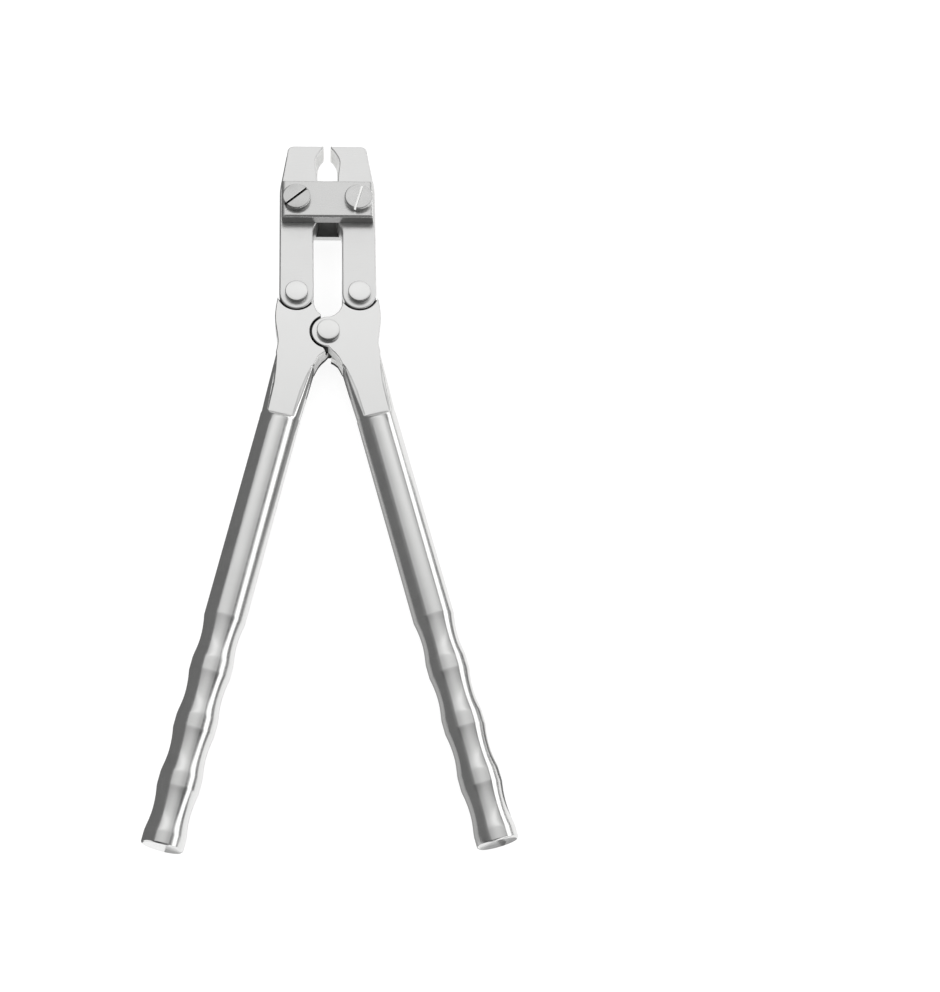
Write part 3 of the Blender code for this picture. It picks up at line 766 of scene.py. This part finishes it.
# ---- dark cards that only reflections see, on the left of each handle and of the jaws
def card_look(name, level):
    """Even grey on its front, nothing on its back."""
    look = bpy.data.materials.new(name)
    look.use_nodes = True
    nodes, links = look.node_tree.nodes, look.node_tree.links
    nodes.clear()
    face = nodes.new("ShaderNodeEmission")
    face.inputs["Color"].default_value = (1, 1, 1, 1)
    face.inputs["Strength"].default_value = level
    clear = nodes.new("ShaderNodeBsdfTransparent")
    which = nodes.new("ShaderNodeNewGeometry")
    one_sided = nodes.new("ShaderNodeMixShader")
    links.new(which.outputs["Backfacing"], one_sided.inputs["Fac"])
    links.new(face.outputs["Emission"], one_sided.inputs[1])
    links.new(clear.outputs["BSDF"], one_sided.inputs[2])
    end = nodes.new("ShaderNodeOutputMaterial")
    links.new(one_sided.outputs["Shader"], end.inputs["Surface"])
    return look


card_dark, card_grey, card_pale = card_look("card_dark", 0.17), card_look("card_grey", 0.38), card_look("card_pale", 0.5)


def card(name, x0, y0, x1, y1, low, high, look=card_dark, facing=1, low_end=None, high_end=None):
    """An upright card from (x0, y0) to (x1, y1), whose dark face looks to the right, or to the left."""
    bm = bmesh.new()
    low_end = low if low_end is None else low_end
    high_end = high if high_end is None else high_end
    corners = [(x0, y0, low), (x1, y1, low_end), (x1, y1, high_end), (x0, y0, high)]
    quad = bm.faces.new([bm.verts.new((Vector(c) + CENTRE * 1.0) * MM) for c in corners])
    bm.normal_update()
    if quad.normal.x * facing < 0:
        quad.normal_flip()
    mesh = bpy.data.meshes.new(name)
    bm.to_mesh(mesh)
    bm.free()
    mesh.materials.append(look)
    obj = bpy.data.objects.new(name, mesh)
    bpy.context.scene.collection.objects.link(obj)
    obj.visible_camera = obj.visible_diffuse = obj.visible_shadow = obj.visible_transmission = False


x0, y0 = on_bar(8, 0)
x1, y1 = on_bar(192, 0)
# They stand further off, and higher, at the ends, where the handles swing towards them.
LEFT_OFF, LEFT_OFF_END, RIGHT_OFF, RIGHT_OFF_END = 8.6, 18.0, 13.5, 31.0
left_share, right_share = LEFT_OFF_END / LEFT_OFF, RIGHT_OFF_END / RIGHT_OFF
card("card_left_handle", -x0 - LEFT_OFF, y0, -x1 - LEFT_OFF_END, y1, -9.4, 12.0, high_end=12.0 * left_share)
card("card_right_handle", x0 - RIGHT_OFF, y0 - 9, x1 - RIGHT_OFF_END, y1, -2.0, 12.0, low_end=-2.0 * right_share, high_end=12.0 * right_share)
card("card_right_handle_low", x0 - RIGHT_OFF, y0 - 9, x1 - RIGHT_OFF_END, y1, -9.4, -2.0, card_pale, high_end=-2.0 * right_share)
card("card_left_head", -x0 - LEFT_OFF, y0, -JAW_X - JAW_HALF - 3.4, 0, -9.4, 12.0)
card("card_left_jaw", -JAW_X - JAW_HALF - 3.4, 0, -JAW_X - JAW_HALF - 2.0, TIP_Y, -9.4, 12.0)


def floor_shade(name, corners, look):
    """A card that lies on the floor, where the object shades it."""
    bm = bmesh.new()
    quad = bm.faces.new([bm.verts.new((Vector((x, y, -9.3)) + CENTRE) * MM) for x, y in corners])
    bm.normal_update()
    if quad.normal.z < 0:
        quad.normal_flip()
    bmesh.ops.triangulate(bm, faces=bm.faces)
    mesh = bpy.data.meshes.new(name)
    bm.to_mesh(mesh)
    bm.free()
    mesh.materials.append(look)
    obj = bpy.data.objects.new(name, mesh)
    bpy.context.scene.collection.objects.link(obj)
    obj.visible_camera = obj.visible_diffuse = obj.visible_shadow = obj.visible_transmission = False


for word, sign in (("left", -1), ("right", 1)):
    card(f"card_{word}_far", sign * x0 + 110.0, y0, sign * x1 + 110.0, y1, -9.4, 0.0, card_dark, -1)
floor_shade("shade_left", [(-x0, y0), (-x0 + 8.4, y0), (-x1 + 8.4, y1), (-x1, y1)], card_grey)
floor_shade("shade_left_outer", [(-x0 - LEFT_OFF, y0), (-x0 - LEFT_OFF, y0 - 1), (-x1 - LEFT_OFF, y1), (-x1 - LEFT_OFF_END, y1)], card_dark)
floor_shade("shade_right", [(x0 - RIGHT_OFF, y0), (x0 + 8.4, y0), (x1 + 8.4, y1), (x1 - RIGHT_OFF, y1)], card_grey)
floor_shade("shade_right_outer", [(x0 - RIGHT_OFF, y0), (x0 - RIGHT_OFF, y0 - 1), (x1 - RIGHT_OFF, y1), (x1 - RIGHT_OFF_END, y1)], card_pale)


arch = [(0.0, -10.0), (1.1, -10.9), (2.3, -13.2), (3.3, -16.8), (4.1, -20.5), (9.0, -20.5), (9.0, -4.0)]
arch += [(-x, y) for x, y in reversed(arch[1:])]
floor_shade("shade_crotch", arch, card_look("card_black", 0.06))


# ---- studio: a world of soft panels and dark cards, by direction ------------------
world = bpy.data.worlds.new("studio")
bpy.context.scene.world = world
world.use_nodes = True
nodes, links = world.node_tree.nodes, world.node_tree.links
nodes.clear()
coords = nodes.new("ShaderNodeTexCoord")
split = nodes.new("ShaderNodeSeparateXYZ")
links.new(coords.outputs["Generated"], split.inputs["Vector"])


def angle(socket):
    """The angle from straight up towards that axis, as a share from 0 at -180 degrees to 1 at 180 degrees."""
    node = nodes.new("ShaderNodeMath")
    node.operation = "ARCTAN2"
    links.new(socket, node.inputs[0])
    links.new(split.outputs["Z"], node.inputs[1])
    share = nodes.new("ShaderNodeMapRange")
    share.inputs["From Min"].default_value, share.inputs["From Max"].default_value = -math.pi, math.pi
    links.new(node.outputs["Value"], share.inputs["Value"])
    return share.outputs["Result"]


def ramp(socket, stops, scale=1.0):
    """A ramp through (degrees, level) stops."""
    node = nodes.new("ShaderNodeValToRGB")
    node.color_ramp.interpolation = "LINEAR"
    elements = node.color_ramp.elements
    while len(elements) > 1:
        elements.remove(elements[-1])
    for i, (degrees, level) in enumerate(stops):
        position = (degrees + 180) / 360
        element = elements[0] if i == 0 else elements.new(position)
        element.position = position
        element.color = (level / scale, level / scale, level / scale, 1)
    links.new(socket, node.inputs["Fac"])
    return node.outputs["Color"]


def math_node(operation, a, b):
    node = nodes.new("ShaderNodeMath")
    node.operation = operation
    for i, value in enumerate((a, b)):
        if isinstance(value, (int, float)):
            node.inputs[i].default_value = value
        else:
            links.new(value, node.inputs[i])
    return node.outputs["Value"]


across, along = angle(split.outputs["X"]), angle(split.outputs["Y"])
LONGWAYS = [(-90, 0.2), (-62, 0.27), (-40, 0.13), (-30, 0.15), (-20, 0.28), (-12, 0.46), (-4, 0.65), (6, 0.74), (14, 0.82), (20, 0.89), (24, 0.98), (28.5, 1.28), (32, 1.16), (37, 0.98), (45, 0.92), (90, 0.92)]
CROSSWAYS = [(-92, 0.3), (-88, 0.21), (-58, 0.19), (-50, 0.32), (-40, 0.64), (-26, 0.79), (-10, 0.94), (4, 0.99), (16, 0.93), (28, 0.78), (40, 0.66), (45, 0.48), (49, 0.16), (56, 0.12), (82, 0.12), (92, 0.2)]
STRIP = [(54.5, 0.0), (57.5, 1.0), (80.5, 1.0), (82.5, 0.0)]
level = math_node("MULTIPLY", ramp(along, LONGWAYS, 2.0), 2.0)
level = math_node("MULTIPLY", level, ramp(across, CROSSWAYS))
level = math_node("ADD", level, math_node("MULTIPLY", ramp(across, STRIP), 1.6))
panels = nodes.new("ShaderNodeBackground")
panels.inputs["Color"].default_value = (1, 1, 1, 1)
links.new(level, panels.inputs["Strength"])
dome = nodes.new("ShaderNodeBackground")
dome.inputs["Color"].default_value = (1, 1, 1, 1)
dome.inputs["Strength"].default_value = 1.0
path = nodes.new("ShaderNodeLightPath")
mixed = nodes.new("ShaderNodeMixShader")
links.new(path.outputs["Is Glossy Ray"], mixed.inputs["Fac"])
links.new(dome.outputs["Background"], mixed.inputs[1])
links.new(panels.outputs["Background"], mixed.inputs[2])
output = nodes.new("ShaderNodeOutputWorld")
links.new(mixed.outputs["Shader"], output.inputs["Surface"])
bpy.context.scene.view_settings.view_transform = "Standard"

bpy.context.view_layer.update()
